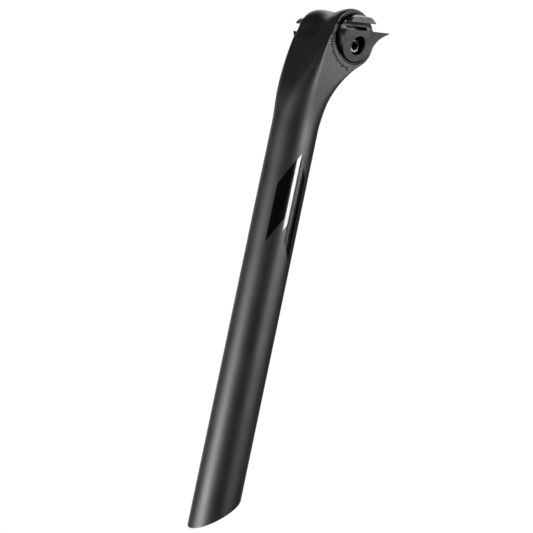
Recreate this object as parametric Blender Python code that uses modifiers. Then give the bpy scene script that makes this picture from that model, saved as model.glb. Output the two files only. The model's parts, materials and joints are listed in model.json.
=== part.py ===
"""Rigid setback seatpost with an eye at the top and a one-bolt clamp for two saddle rails.

Frame: +X forward, +Y to the rider's left, +Z up, in metres. The origin is on the tube's axis at the
minimum-insertion line. The saddle rails run level along X, and the tube leans back by TUBE_LEAN.
Sizes below are in millimetres and are converted once, where a vertex or an object is placed.
"""

import math

import bmesh
import bpy
from mathutils import Matrix, Vector

MM = 0.001
GAP = 0.3                      # clearance between neighbouring solids

# Tube, in the tube's own frame: f forward across it, s up along it, s = 0 at the insertion line.
TUBE_LEAN = math.radians(13.5)
TUBE_R = 15.8
TUBE_BORE_R = 13.3
FOOT_S = -100.0                # the foot is slash cut at 45 degrees, longest at the front
BORE_TOP_S = 186.0

# Eye: a ring whose axis is parallel to Y, behind and above the top of the tube.
EYE_F = -20.3
EYE_S = 254.0
EYE_HALF_WIDTH = 17.5
EYE_R = 16.4
EYE_RIM_R = 20.0
EYE_WAIST_R = 18.4
LINER_R = 17.4
LINER_DEPTH = 6.7

# Rails and jaws, in the eye's frame: x forward, y left, z up from the eye's centre.
RAIL_Y = 22.0
RAIL_Z = 7.6
RAIL_GROOVE_R = 3.55
RELIEF_R = 5.0
JAW_R = 15.9
CHEEK_R = 15.7
CHEEK_INNER_Y = EYE_HALF_WIDTH + GAP
LIP_TOP_Z = 5.0
FEET_Z = 6.0
NOTCH_Z = 8.0
UPPER_LIP_Z = 10.2
SKIRT_Y = 18.6

# Bolt, an M6 cap screw with its axis parallel to Y.
BOLT_Z = -5.1
BOLT_R = 3.0
BOLT_HOLE_R = 3.4
BOLT_HEAD_R = 5.0
BOLT_HEAD_Y = 18.0
BOLT_HEAD_LENGTH = 6.0
COUNTERBORE_R = 6.4
HEX_SOCKET_FLATS = 5.0
HEX_SOCKET_DEPTH = 3.2
NUT_FLATS = 10.0
NUT_OUTER_Y = -16.5
NUT_LENGTH = 5.0
BOLT_END_Y = -18.5

ROUND = 96                     # facets round the eye and the jaws
TUBE_ROUND = 72                # facets round the tube

HEX_APOTHEM = math.cos(math.radians(30.0))   # of a hexagon whose corners are at radius 1
COS_LEAN = math.cos(TUBE_LEAN)
SIN_LEAN = math.sin(TUBE_LEAN)


def tube_point(f, y, s):
    """A point given in the tube's frame, in metres in the world."""
    return Vector((f * COS_LEAN - s * SIN_LEAN, y, f * SIN_LEAN + s * COS_LEAN)) * MM


EYE = tube_point(EYE_F, 0.0, EYE_S)


def clear_scene():
    for old in list(bpy.data.objects):
        bpy.data.objects.remove(old, do_unlink=True)


def collection(name):
    made = bpy.data.collections.new(name)
    bpy.context.scene.collection.children.link(made)
    return made


clear_scene()
PARTS = collection("setback_seatpost")
CUTTERS = collection("cutters")
SIDES = ((1, "left"), (-1, "right"))


def material(name, colour, metallic, roughness):
    made = bpy.data.materials.new(name)
    made.use_nodes = True
    shader = made.node_tree.nodes["Principled BSDF"]
    shader.inputs["Base Color"].default_value = (*colour, 1.0)
    shader.inputs["Metallic"].default_value = metallic
    shader.inputs["Roughness"].default_value = roughness
    return made


def add_object(name, mesh):
    """A new object among the cutters; finish() moves a sub-part out of there."""
    made = bpy.data.objects.new(name, mesh)
    CUTTERS.objects.link(made)
    return made


def smooth(obj, angle_degrees=30.0):
    """Smooth shading, with edges sharper than the angle kept crisp."""
    obj.data.shade_smooth()
    obj.data.set_sharp_from_angle(angle=math.radians(angle_degrees))


def boolean(obj, cutter, operation="DIFFERENCE"):
    cutter.hide_render = True
    cutter.display_type = "WIRE"
    step = obj.modifiers.new(f"{operation.lower()} {cutter.name}", "BOOLEAN")
    step.operation = operation
    step.solver = "EXACT"
    step.object = cutter


# Local Z is laid along +Y or +X; an outline in local XY stands up in XZ or in YZ.
FACING_Y = Matrix.Rotation(math.radians(-90.0), 4, "X")
FACING_X = Matrix(((0, 0, 1, 0), (1, 0, 0, 0), (0, 1, 0, 0), (0, 0, 0, 1)))
OUTLINE_XZ = Matrix.Rotation(math.radians(90.0), 4, "X")
OUTLINE_YZ = FACING_X


def at_eye(x, y, z):
    return Matrix.Translation(EYE + Vector((x, y, z)) * MM)


def cylinder(name, radius, length, placed, segments=ROUND):
    """A capped cylinder of this length, centred on its origin, with its axis on local Z."""
    bm = bmesh.new()
    bmesh.ops.create_cone(
        bm, cap_ends=True, segments=segments,
        radius1=radius * MM, radius2=radius * MM, depth=length * MM,
    )
    mesh = bpy.data.meshes.new(name)
    bm.to_mesh(mesh)
    bm.free()
    made = add_object(name, mesh)
    made.matrix_world = placed
    return made


def drum(name, radius, y0, y1, x=0.0, z=0.0, segments=ROUND):
    """A cylinder parallel to Y from y0 to y1, placed from the eye's centre."""
    placed = at_eye(x, (y0 + y1) / 2, z) @ FACING_Y
    return cylinder(name, radius, abs(y1 - y0), placed, segments)


def rail_rod(name, side, radius, length=80.0):
    """A cylinder along one rail's axis."""
    return cylinder(name, radius, length, at_eye(0.0, side * RAIL_Y, RAIL_Z) @ FACING_X, 64)


def block(name, x, y, z, turned=Matrix.Identity(4)):
    """A box given by its ranges from the eye's centre, turned about the box's own centre."""
    bm = bmesh.new()
    bmesh.ops.create_cube(bm, size=1.0)
    size = Vector((x[1] - x[0], y[1] - y[0], z[1] - z[0])) * MM
    bmesh.ops.scale(bm, vec=size, verts=bm.verts)
    mesh = bpy.data.meshes.new(name)
    bm.to_mesh(mesh)
    bm.free()
    made = add_object(name, mesh)
    made.matrix_world = at_eye(sum(x) / 2, sum(y) / 2, sum(z) / 2) @ turned
    return made


def slab(name, outline, thickness, placed):
    """A flat closed outline in local XY given thickness along local Z, as a mesh."""
    curve = bpy.data.curves.new(name, "CURVE")
    curve.dimensions = "2D"
    curve.fill_mode = "BOTH"
    curve.extrude = thickness / 2 * MM
    spline = curve.splines.new("POLY")
    spline.points.add(len(outline) - 1)
    for point, (a, b) in zip(spline.points, outline):
        point.co = (a * MM, b * MM, 0.0, 1.0)
    spline.use_cyclic_u = True
    drawn = bpy.data.objects.new(name + "_outline", curve)
    CUTTERS.objects.link(drawn)
    evaluated = drawn.evaluated_get(bpy.context.evaluated_depsgraph_get())
    mesh = bpy.data.meshes.new_from_object(evaluated)
    bpy.data.objects.remove(drawn, do_unlink=True)
    bm = bmesh.new()
    bm.from_mesh(mesh)
    bmesh.ops.remove_doubles(bm, verts=bm.verts, dist=0.001 * MM)
    bmesh.ops.recalc_face_normals(bm, faces=bm.faces)
    bm.to_mesh(mesh)
    bm.free()
    made = add_object(name, mesh)
    made.matrix_world = placed
    return made


def turned(name, profile, placed, closed=True, steps=ROUND):
    """A profile of (radius, height) pairs, top to bottom on its outer side, turned about local Z."""
    count = len(profile)
    edges = [(i, (i + 1) % count) for i in range(count if closed else count - 1)]
    mesh = bpy.data.meshes.new(name)
    mesh.from_pydata([(r * MM, 0.0, h * MM) for r, h in profile], edges, [])
    made = add_object(name, mesh)
    made.matrix_world = placed
    screw = made.modifiers.new("turn", "SCREW")
    screw.steps = steps
    screw.render_steps = steps
    screw.use_merge_vertices = True
    screw.merge_threshold = 0.01 * MM
    screw.use_smooth_shade = True
    return made


def arc(centre, radius, start, end, steps):
    """Points on an arc from start to end degrees, both ends included."""
    points = []
    for i in range(steps + 1):
        angle = math.radians(start + (end - start) * i / steps)
        points.append((centre[0] + radius * math.cos(angle), centre[1] + radius * math.sin(angle)))
    return points


def finish(obj, its_material, parent=None):
    """Move a sub-part into the parts collection, and give it its material and parent."""
    CUTTERS.objects.unlink(obj)
    PARTS.objects.link(obj)
    obj.data.materials.append(its_material)
    if parent:
        placed = obj.matrix_world.copy()
        obj.parent = parent
        obj.matrix_parent_inverse = parent.matrix_world.inverted()
        obj.matrix_world = placed
    return obj


# ---------------------------------------------------------------- post: tube, neck and eye

def smoothstep(t):
    t = min(max(t, 0.0), 1.0)
    return t * t * (3.0 - 2.0 * t)


FRONT_SLOPE = 0.30             # the neck's front face falls back this much for each unit of height
FRONT_REACH = 20.5             # distance of the front face from the eye's axis
FRONT_BLEND = 1.5              # softness of the bend between tube and front face
FRONT_END = (-7.0, 8.0)        # heights from the eye's centre over which the front meets the rim
REAR_FILLET_R = 50.0
REAR_END_SLOPE = 0.3           # above the fillet the rear runs on inside the eye's ring
NECK_START_S = 184.0
NECK_WIDE_S = 232.0
FRONT_SQUARE_S = 254.0
REAR_SQUARE_S = 243.0
NECK_TOP_S = EYE_S + FRONT_END[1] + 1.0
CORNER_DEPTH = 1.2             # corner radii of the head, along f and along y
CORNER_WIDTH = 3.0
CORNER_STEPS = 16


def front_of_neck(s):
    """The front face: the tube's side, bent into a sloping line that runs out onto the eye's rim."""
    angle = math.atan(FRONT_SLOPE)
    line = EYE_F + FRONT_REACH / math.cos(angle) - FRONT_SLOPE * (s - EYE_S)
    bent = TUBE_R - FRONT_BLEND * math.log1p(math.exp((TUBE_R - line) / FRONT_BLEND))
    start, end = FRONT_END
    onto_rim = smoothstep((s - EYE_S - start) / (end - start))
    rim = EYE_F + math.sqrt(EYE_RIM_R ** 2 - min(abs(s - EYE_S), EYE_RIM_R) ** 2)
    return bent + (rim - bent) * onto_rim


def rear_of_neck(s):
    """The rear face: the tube's side, then a hollow fillet that runs out onto the eye's rim."""
    fillet_f = -TUBE_R - REAR_FILLET_R
    reach = EYE_RIM_R + REAR_FILLET_R
    fillet_s = EYE_S - math.sqrt(reach ** 2 - (fillet_f - EYE_F) ** 2)
    touch_s = EYE_S - (EYE_S - fillet_s) * EYE_RIM_R / reach
    touch_f = EYE_F + (fillet_f - EYE_F) * EYE_RIM_R / reach
    if s <= fillet_s:
        return -TUBE_R
    if s <= touch_s:
        return fillet_f + math.sqrt(REAR_FILLET_R ** 2 - (s - fillet_s) ** 2)
    return touch_f + REAR_END_SLOPE * (s - touch_s)


def neck_half_width(s):
    rise = smoothstep((s - NECK_START_S) / (NECK_WIDE_S - NECK_START_S))
    return TUBE_R + (EYE_HALF_WIDTH - TUBE_R) * rise


def corner_radii(s, square_s):
    """The corner's radii along f and y, from fully round to the head's own rounding."""
    rise = smoothstep((s - NECK_START_S) / (square_s - NECK_START_S))
    return TUBE_R + (CORNER_DEPTH - TUBE_R) * rise, TUBE_R + (CORNER_WIDTH - TUBE_R) * rise


def neck_section(s):
    """One section of the post as (f, y) pairs: a rectangle with four rounded corners."""
    front = front_of_neck(s)
    rear = rear_of_neck(s)
    width = neck_half_width(s)
    front_radii = corner_radii(s, FRONT_SQUARE_S)
    rear_radii = corner_radii(s, REAR_SQUARE_S)
    section = []
    for quarter, (f_side, y_side) in enumerate(((1, 1), (-1, 1), (-1, -1), (1, -1))):
        f_radius, y_radius = front_radii if f_side > 0 else rear_radii
        edge = front if f_side > 0 else rear
        for i in range(CORNER_STEPS):
            angle = math.radians(90.0 * (quarter + (i + 0.5) / CORNER_STEPS))
            section.append((
                edge + f_radius * (math.cos(angle) - f_side),
                y_side * (width - y_radius) + y_radius * math.sin(angle),
            ))
    return section


def add_post_skin():
    """The outside of the tube and neck, lofted from round to square."""
    levels = [FOOT_S, 40.0, NECK_START_S]
    steps = 24
    levels += [NECK_START_S + (NECK_TOP_S - NECK_START_S) * (i + 1) / steps for i in range(steps)]
    bm = bmesh.new()
    rings = []
    for s in levels:
        ring = []
        for f, y in neck_section(s):
            cut = TUBE_R - f if s == FOOT_S else 0.0
            ring.append(bm.verts.new(tube_point(f, y, s + cut)))
        rings.append(ring)
    for low, high in zip(rings, rings[1:]):
        for i, j in zip(range(len(low)), list(range(1, len(low))) + [0]):
            bm.faces.new((low[i], low[j], high[j], high[i]))
    bm.faces.new(rings[0])
    bm.faces.new(rings[-1])
    bmesh.ops.recalc_face_normals(bm, faces=bm.faces)
    mesh = bpy.data.meshes.new("seatpost_body")
    bm.to_mesh(mesh)
    bm.free()
    return add_object("seatpost_body", mesh)


RIM_ROUND_Y = EYE_HALF_WIDTH - CORNER_WIDTH   # the rim starts to round over here
RIM_FACE_R = EYE_RIM_R - CORNER_DEPTH
RING_CORE_R = EYE_R - 6.0                     # well inside the bore, which removes it


def eye_profile():
    """The outside of the eye's ring: a waisted drum with rounded rims, on a plain inner core."""
    half = arc((0.0, RIM_ROUND_Y), 1.0, 90.0, 0.0, 5)
    rim_r = EYE_RIM_R - RIM_FACE_R
    rim_y = EYE_HALF_WIDTH - RIM_ROUND_Y
    top = [(RIM_FACE_R + rim_r * r, RIM_ROUND_Y + rim_y * (h - RIM_ROUND_Y)) for r, h in half]
    waist = []
    steps = 10
    for i in range(1, steps):
        y = RIM_ROUND_Y * (1.0 - 2.0 * i / steps)
        dip = 0.5 + 0.5 * math.cos(math.pi * y / RIM_ROUND_Y)
        waist.append((EYE_RIM_R - (EYE_RIM_R - EYE_WAIST_R) * dip, y))
    bottom = [(r, -h) for r, h in reversed(top)]
    core = [(RING_CORE_R, -EYE_HALF_WIDTH), (RING_CORE_R, EYE_HALF_WIDTH)]
    return top + waist + bottom + core


def eye_bore_profile():
    """The through bore, stepped out at both mouths to take the liners."""
    mouth = EYE_HALF_WIDTH + 5.0
    seat = EYE_HALF_WIDTH - LINER_DEPTH - GAP
    wide = LINER_R + GAP
    half = [(0.0, mouth), (wide, mouth), (wide, seat), (EYE_R, seat)]
    return half + [(r, -h) for r, h in reversed(half)]


def add_seatpost_body(carbon):
    body = add_post_skin()
    bore_length = BORE_TOP_S - FOOT_S + 20.0
    middle = tube_point(0.0, 0.0, BORE_TOP_S - bore_length / 2)
    leaned = Matrix.Translation(middle) @ Matrix.Rotation(-TUBE_LEAN, 4, "Y")
    boolean(body, cylinder("tube_bore", TUBE_BORE_R, bore_length, leaned, TUBE_ROUND))
    boolean(body, turned("eye_ring", eye_profile(), at_eye(0, 0, 0) @ FACING_Y), "UNION")
    bore = turned("eye_bore", eye_bore_profile(), at_eye(0, 0, 0) @ FACING_Y, closed=False)
    for side, word in SIDES:
        boolean(bore, rail_rod(f"rail_relief_{word}", side, RELIEF_R), "UNION")
    boolean(body, bore)
    smooth(body)
    return finish(body, carbon)


def add_liner(side, word, alloy):
    """A thin ring bonded into one mouth of the eye, chamfered at the mouth."""
    outer = EYE_HALF_WIDTH
    inner = EYE_HALF_WIDTH - LINER_DEPTH
    chamfer = 0.6
    profile = [
        (LINER_R, outer), (LINER_R, inner), (EYE_R, inner),
        (EYE_R, outer - chamfer), (EYE_R + chamfer, outer),
    ]
    if side < 0:
        profile = [(r, -h) for r, h in reversed(profile)]
    liner = turned(f"eye_liner_{word}", profile, at_eye(0, 0, 0) @ FACING_Y)
    boolean(liner, rail_rod(f"liner_relief_{word}", side, RELIEF_R))
    return finish(liner, alloy)


# ---------------------------------------------------------------- clamp: upper jaws

JAW_INNER_Y = 0.2              # half the gap between the left and right upper jaws
LIP_OUTER_Y = 26.3
LIP_SHOULDER_Z = 14.0
LIP_FRONT_X = 11.5
NOTCH_X = (-11.0, 8.8)
NOTCH_DEPTH = 6.0


def sided(side, outline):
    """An outline in (y, z) kept for the left side, or mirrored for the right."""
    return [(side * y, z) for y, z in outline]


def upper_jaw_outline():
    """The upper jaw seen from the front: feet, skirt wall, rail groove, lip and sloping top."""
    reach = RAIL_Y - SKIRT_Y
    skirt_angle = 180.0 + math.degrees(math.acos(reach / RAIL_GROOVE_R))
    lip_angle = math.degrees(math.asin((UPPER_LIP_Z - RAIL_Z) / RAIL_GROOVE_R))
    groove = arc((RAIL_Y, RAIL_Z), RAIL_GROOVE_R, skirt_angle, lip_angle, 16)
    top = JAW_R + 0.5
    return (
        [(JAW_INNER_Y, FEET_Z), (SKIRT_Y, FEET_Z)] + groove
        + [(LIP_OUTER_Y, UPPER_LIP_Z), (LIP_OUTER_Y, LIP_SHOULDER_Z), (SKIRT_Y, top), (JAW_INNER_Y, top)]
    )


def add_upper_jaw(side, word, alloy, parent):
    jaw = slab(
        f"upper_jaw_{word}", sided(side, upper_jaw_outline()), 2 * JAW_R + 4.0,
        at_eye(0, 0, 0) @ OUTLINE_YZ,
    )
    boolean(jaw, drum(f"jaw_barrel_{word}", JAW_R, -side, side * 30.0), "INTERSECT")
    y_range = sorted((side * (SKIRT_Y - NOTCH_DEPTH), side * (SKIRT_Y + 1.0)))
    boolean(jaw, block(f"skirt_notch_{word}", NOTCH_X, y_range, (FEET_Z - 2.0, NOTCH_Z)))
    y_range = sorted((side * (SKIRT_Y + 0.8), side * (LIP_OUTER_Y + 2.0)))
    boolean(jaw, block(f"lip_front_{word}", (LIP_FRONT_X, 20.0), y_range, (0.0, 20.0)))
    smooth(jaw)
    return finish(jaw, alloy, parent)


# ---------------------------------------------------------------- clamp: lower jaws

BARREL_INNER_Y = 4.0
CHEEK_SLANT = math.radians(19.4)
CHEEK_TOP_Y = 25.2             # outer face of the cheek at the height of the lip's top
WING_TIP = (-26.0, 4.3)
WING_ROOT_ANGLE = 214.5        # where the wing's hollow underside leaves the cheek's circle
HOLLOW_SAG = 2.6
SEAT_Y = BOLT_HEAD_Y - BOLT_HEAD_LENGTH - 1.0


def wing_underside():
    """A hollow curve from the cheek's circle out to the wing's tip."""
    root = Vector((
        CHEEK_R * math.cos(math.radians(WING_ROOT_ANGLE)),
        CHEEK_R * math.sin(math.radians(WING_ROOT_ANGLE)),
    ))
    tip = Vector(WING_TIP)
    along = tip - root
    inward = Vector((along.y, -along.x)).normalized() * HOLLOW_SAG
    steps = 10
    return [tuple(root + along * i / steps + inward * math.sin(math.pi * i / steps))
            for i in range(1, steps + 1)]


def cheek_outline():
    """The lower jaw seen from the side: a disc cut off at the lip, with the wing at the rear."""
    corner = math.degrees(math.asin(LIP_TOP_Z / CHEEK_R))
    rim = arc((0.0, 0.0), CHEEK_R, corner, WING_ROOT_ANGLE - 360.0, 48)
    return rim + wing_underside() + [(WING_TIP[0], LIP_TOP_Z)]


def add_lower_jaw(side, word, alloy, parent):
    cheek_width = CHEEK_TOP_Y + 1.0 - CHEEK_INNER_Y
    middle = side * (CHEEK_INNER_Y + cheek_width / 2)
    jaw = slab(f"lower_jaw_{word}", cheek_outline(), cheek_width, at_eye(0, middle, 0) @ OUTLINE_XZ)
    barrel = drum(f"barrel_{word}", JAW_R, side * BARREL_INNER_Y, side * (CHEEK_INNER_Y + 1.0))
    boolean(jaw, barrel, "UNION")
    across = (-40.0, 40.0)
    low = side * BARREL_INNER_Y - side
    y_range = sorted((low, side * (CHEEK_TOP_Y + 5.0)))
    boolean(jaw, block(f"lip_plane_{word}", across, y_range, (LIP_TOP_Z, 40.0)))
    boolean(jaw, rail_rod(f"rail_groove_{word}", side, RAIL_GROOVE_R))
    boolean(jaw, cheek_slant_cutter(side, word))
    boolean(jaw, drum(f"bolt_hole_{word}", BOLT_HOLE_R, 0.0, side * 40.0, z=BOLT_Z))
    if side > 0:
        boolean(jaw, drum("counterbore", COUNTERBORE_R, SEAT_Y - GAP, 40.0, z=BOLT_Z))
    else:
        boolean(jaw, nut_pocket())
    smooth(jaw)
    return finish(jaw, alloy, parent)


def cheek_slant_cutter(side, word):
    """Everything outside the cheek's slanted outer face."""
    size = 60.0
    turn = Matrix.Rotation(-side * CHEEK_SLANT, 4, "X")
    half = turn @ Vector((0.0, side * size / 2, 0.0))
    centre = Vector((0.0, side * CHEEK_TOP_Y, LIP_TOP_Z)) + half
    made = block(f"cheek_slant_{word}", (-size, size), (-size / 2, size / 2), (-size / 2, size / 2))
    made.matrix_world = at_eye(*centre) @ turn
    return made


def nut_pocket():
    """A hexagonal pocket, open on the outside of the right lower jaw."""
    corner_r = (NUT_FLATS / 2 + GAP) / HEX_APOTHEM
    inner = NUT_OUTER_Y + NUT_LENGTH + GAP
    return drum("nut_pocket", corner_r, inner, -40.0, z=BOLT_Z, segments=6)


# ---------------------------------------------------------------- bolt, washer and nut

def add_clamp_bolt(steel, parent):
    """An M6 socket-head screw, head on the left."""
    head_back = BOLT_HEAD_Y - BOLT_HEAD_LENGTH
    chamfer = 0.5
    profile = [
        (0.0, BOLT_HEAD_Y), (BOLT_HEAD_R - chamfer, BOLT_HEAD_Y), (BOLT_HEAD_R, BOLT_HEAD_Y - chamfer),
        (BOLT_HEAD_R, head_back), (BOLT_R, head_back),
        (BOLT_R, BOLT_END_Y + chamfer), (BOLT_R - chamfer, BOLT_END_Y), (0.0, BOLT_END_Y),
    ]
    bolt = turned("clamp_bolt", profile, at_eye(0, 0, BOLT_Z) @ FACING_Y, closed=False, steps=48)
    corner_r = HEX_SOCKET_FLATS / 2 / HEX_APOTHEM
    socket = drum("hex_socket", corner_r, BOLT_HEAD_Y - HEX_SOCKET_DEPTH, BOLT_HEAD_Y + 2.0,
                  z=BOLT_Z, segments=6)
    boolean(bolt, socket)
    smooth(bolt)
    return finish(bolt, steel, parent)


def add_bolt_washer(steel, parent):
    top = BOLT_HEAD_Y - BOLT_HEAD_LENGTH - GAP
    bottom = SEAT_Y
    outer = COUNTERBORE_R - GAP
    inner = BOLT_HOLE_R
    profile = [(outer, top), (outer, bottom), (inner, bottom), (inner, top)]
    return finish(turned("bolt_washer", profile, at_eye(0, 0, BOLT_Z) @ FACING_Y, steps=48), steel, parent)


def add_hex_nut(steel, parent):
    corner_r = NUT_FLATS / 2 / HEX_APOTHEM
    inner = NUT_OUTER_Y + NUT_LENGTH
    nut = drum("hex_nut", corner_r, NUT_OUTER_Y, inner, z=BOLT_Z, segments=6)
    boolean(nut, drum("nut_bore", BOLT_R + GAP, NUT_OUTER_Y - 2.0, inner + 2.0, z=BOLT_Z, segments=48))
    return finish(nut, steel, parent)


# ---------------------------------------------------------------- assembly

def pivot(name, placed, parent=None):
    """An empty that moving sub-parts hang on."""
    made = bpy.data.objects.new(name, None)
    made.matrix_world = placed
    PARTS.objects.link(made)
    if parent:
        made.parent = parent
        made.matrix_parent_inverse = parent.matrix_world.inverted()
    return made


def main():
    carbon = material("carbon_laminate", (0.012, 0.012, 0.013), 0.0, 0.38)
    black_alloy = material("black_anodised", (0.03, 0.03, 0.032), 0.7, 0.42)
    liner_alloy = material("grey_anodised", (0.10, 0.10, 0.105), 1.0, 0.35)
    steel = material("plated_steel", (0.5, 0.5, 0.5), 1.0, 0.3)

    tilt = pivot("tilt_axis", at_eye(0, 0, 0))
    add_seatpost_body(carbon)
    for side, word in SIDES:
        add_liner(side, word, liner_alloy)
        add_upper_jaw(side, word, black_alloy, tilt)
        add_lower_jaw(side, word, black_alloy, tilt)
    add_clamp_bolt(steel, tilt)
    add_bolt_washer(steel, tilt)
    add_hex_nut(steel, tilt)


main()
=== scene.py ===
"""The looks of a rigid setback seatpost with a one-bolt saddle clamp, built round its CAD model."""

import json
import math

import bmesh
import bpy
import numpy as np
from mathutils import Matrix, Vector


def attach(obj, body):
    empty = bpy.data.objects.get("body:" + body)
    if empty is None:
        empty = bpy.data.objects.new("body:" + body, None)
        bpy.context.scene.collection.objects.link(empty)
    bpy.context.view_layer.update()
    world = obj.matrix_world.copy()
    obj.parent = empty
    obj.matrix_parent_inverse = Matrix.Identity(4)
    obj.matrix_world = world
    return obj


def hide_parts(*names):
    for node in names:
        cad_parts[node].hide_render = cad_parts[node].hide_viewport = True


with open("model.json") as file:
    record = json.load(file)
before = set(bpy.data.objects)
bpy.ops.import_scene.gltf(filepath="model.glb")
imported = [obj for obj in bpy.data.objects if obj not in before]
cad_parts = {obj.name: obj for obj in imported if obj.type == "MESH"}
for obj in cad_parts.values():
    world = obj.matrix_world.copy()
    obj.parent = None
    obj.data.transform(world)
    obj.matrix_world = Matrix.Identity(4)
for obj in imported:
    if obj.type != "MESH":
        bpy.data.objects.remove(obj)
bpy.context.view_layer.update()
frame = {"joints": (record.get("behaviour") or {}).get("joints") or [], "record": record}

MM = 0.001

# ---------------------------------------------------------------- places and sizes

JOINTS = {joint["name"]: joint for joint in frame["joints"]}
EYE = Vector(JOINTS["clamp_tilt"]["pos_m"])
BOLT_Z = (JOINTS["bolt_turn"]["pos_m"][2] - EYE.z) / MM
SEAT_TUBE = next(m for m in frame["record"]["mounts"] if m["name"] == "seat_tube")
TUBE_UP = -Vector(SEAT_TUBE["axis"])
TUBE_FORWARD = Vector((TUBE_UP.z, 0.0, -TUBE_UP.x))
LEFTWARD = Vector((0.0, 1.0, 0.0))
TUBE_LEAN = math.atan2(-TUBE_UP.x, TUBE_UP.z)
SIDES = ((1, "left"), (-1, "right"))

# Sizes below are in millimetres. The tube's frame is f forward across it, y left and s up along it.
TUBE_R = 15.8
TUBE_BORE_R = 13.3
FOOT_S = -100.0
BORE_TOP_S = 186.0
EYE_F = EYE.dot(TUBE_FORWARD) / MM
EYE_S = EYE.dot(TUBE_UP) / MM
EYE_HALF_WIDTH = 17.5
EYE_R = 16.4
EYE_RIM_R = 20.0
WAIST_DIP = 2.0
LINER_R = 17.4
LINER_DEPTH = 6.7
GAP = 0.3

# The clamp, in the eye's frame: x forward, y left, z up from the eye's centre.
RAIL_Y = 22.0
RAIL_Z = 7.6
RAIL_GROOVE_R = 3.55
RELIEF_R = 5.0
JAW_R = 15.9
CHEEK_R = 15.7
CHEEK_INNER_Y = EYE_HALF_WIDTH + GAP
LIP_TOP_Z = 5.0
BOLT_R = 3.0
BOLT_HOLE_R = 3.4
BOLT_HEAD_R = 5.0
BOLT_HEAD_Y = 18.0
BOLT_HEAD_LENGTH = 6.0
COUNTERBORE_R = 6.4
NUT_FLATS = 10.0
NUT_OUTER_Y = -16.5
NUT_LENGTH = 5.0
BOLT_END_Y = -18.5
HEX_APOTHEM = math.cos(math.radians(30.0))   # of a hexagon whose corners are at radius 1
ROUND = 128                                  # facets round the eye and the jaws
BEVEL_SEGMENTS = 2
BEVEL_ANGLE = math.radians(35.0)             # edges sharper than this are broken
RAIL_ROD_LENGTH = 80.0                       # cutters along a rail run past both ends of the clamp


def tube_point(f, y, s):
    """A point given in the tube's frame, in metres in the world."""
    return (TUBE_FORWARD * f + LEFTWARD * y + TUBE_UP * s) * MM


def at_eye(x=0.0, y=0.0, z=0.0):
    """A placement this many millimetres from the eye's centre."""
    return Matrix.Translation(EYE + Vector((x, y, z)) * MM)


# Local Z is laid along +Y or +X; an outline in local XY stands up in XZ or in YZ.
FACING_Y = Matrix.Rotation(math.radians(-90.0), 4, "X")
FACING_X = Matrix(((0, 0, 1, 0), (1, 0, 0, 0), (0, 1, 0, 0), (0, 0, 0, 1)))
OUTLINE_XZ = Matrix.Rotation(math.radians(90.0), 4, "X")
OUTLINE_YZ = FACING_X
TUBE_TURN = Matrix.Rotation(-TUBE_LEAN, 4, "Y")


# ---------------------------------------------------------------- modelling helpers

def link_mesh(name, mesh):
    made = bpy.data.objects.new(name, mesh)
    bpy.context.scene.collection.objects.link(made)
    return made


def mesh_from_bmesh(name, bm):
    mesh = bpy.data.meshes.new(name)
    bm.to_mesh(mesh)
    bm.free()
    return mesh


def freeze(obj):
    """Apply the object's modifiers and its transform, so that its place is in its mesh."""
    bpy.context.view_layer.update()
    evaluated = obj.evaluated_get(bpy.context.evaluated_depsgraph_get())
    mesh = bpy.data.meshes.new_from_object(evaluated)
    mesh.transform(obj.matrix_world)
    obj.modifiers.clear()
    obj.matrix_world = Matrix.Identity(4)
    obj.data = mesh
    return obj


def boolean(obj, cutter, operation="DIFFERENCE"):
    """One exact Boolean, applied at once; the cutter is removed."""
    step = obj.modifiers.new(operation.lower(), "BOOLEAN")
    step.operation = operation
    step.solver = "EXACT"
    step.object = cutter
    freeze(obj)
    bpy.data.objects.remove(cutter, do_unlink=True)
    return obj


def bevel(obj, width):
    """Break the sharp edges."""
    step = obj.modifiers.new("bevel", "BEVEL")
    step.width = width * MM
    step.segments = BEVEL_SEGMENTS
    step.limit_method = "ANGLE"
    step.angle_limit = BEVEL_ANGLE
    step.miter_outer = "MITER_ARC"
    return freeze(obj)


def smooth(obj, angle_degrees=30.0):
    """Smooth shading that keeps sharp edges crisp and big flat faces flat."""
    obj.data.shade_smooth()
    obj.data.set_sharp_from_angle(angle=math.radians(angle_degrees))
    step = obj.modifiers.new("flat_faces", "WEIGHTED_NORMAL")
    step.keep_sharp = True
    return freeze(obj)


def cylinder(name, radius, length, placed, segments=ROUND):
    bm = bmesh.new()
    bmesh.ops.create_cone(
        bm, cap_ends=True, segments=segments,
        radius1=radius * MM, radius2=radius * MM, depth=length * MM,
    )
    made = link_mesh(name, mesh_from_bmesh(name, bm))
    made.matrix_world = placed
    return made


def drum(name, radius, y0, y1, z=0.0, segments=ROUND):
    """A cylinder parallel to Y from y0 to y1, placed from the eye's centre."""
    placed = at_eye(0.0, (y0 + y1) / 2, z) @ FACING_Y
    return cylinder(name, radius, abs(y1 - y0), placed, segments)


def rail_rod(name, side, radius):
    """A cylinder along one rail's axis."""
    placed = at_eye(0.0, side * RAIL_Y, RAIL_Z) @ FACING_X
    return cylinder(name, radius, RAIL_ROD_LENGTH, placed)


def block(name, x, y, z):
    """A box given by its ranges from the eye's centre."""
    bm = bmesh.new()
    bmesh.ops.create_cube(bm, size=1.0)
    size = Vector((x[1] - x[0], y[1] - y[0], z[1] - z[0])) * MM
    bmesh.ops.scale(bm, vec=size, verts=bm.verts)
    made = link_mesh(name, mesh_from_bmesh(name, bm))
    made.matrix_world = at_eye(sum(x) / 2, sum(y) / 2, sum(z) / 2)
    return made


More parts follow.
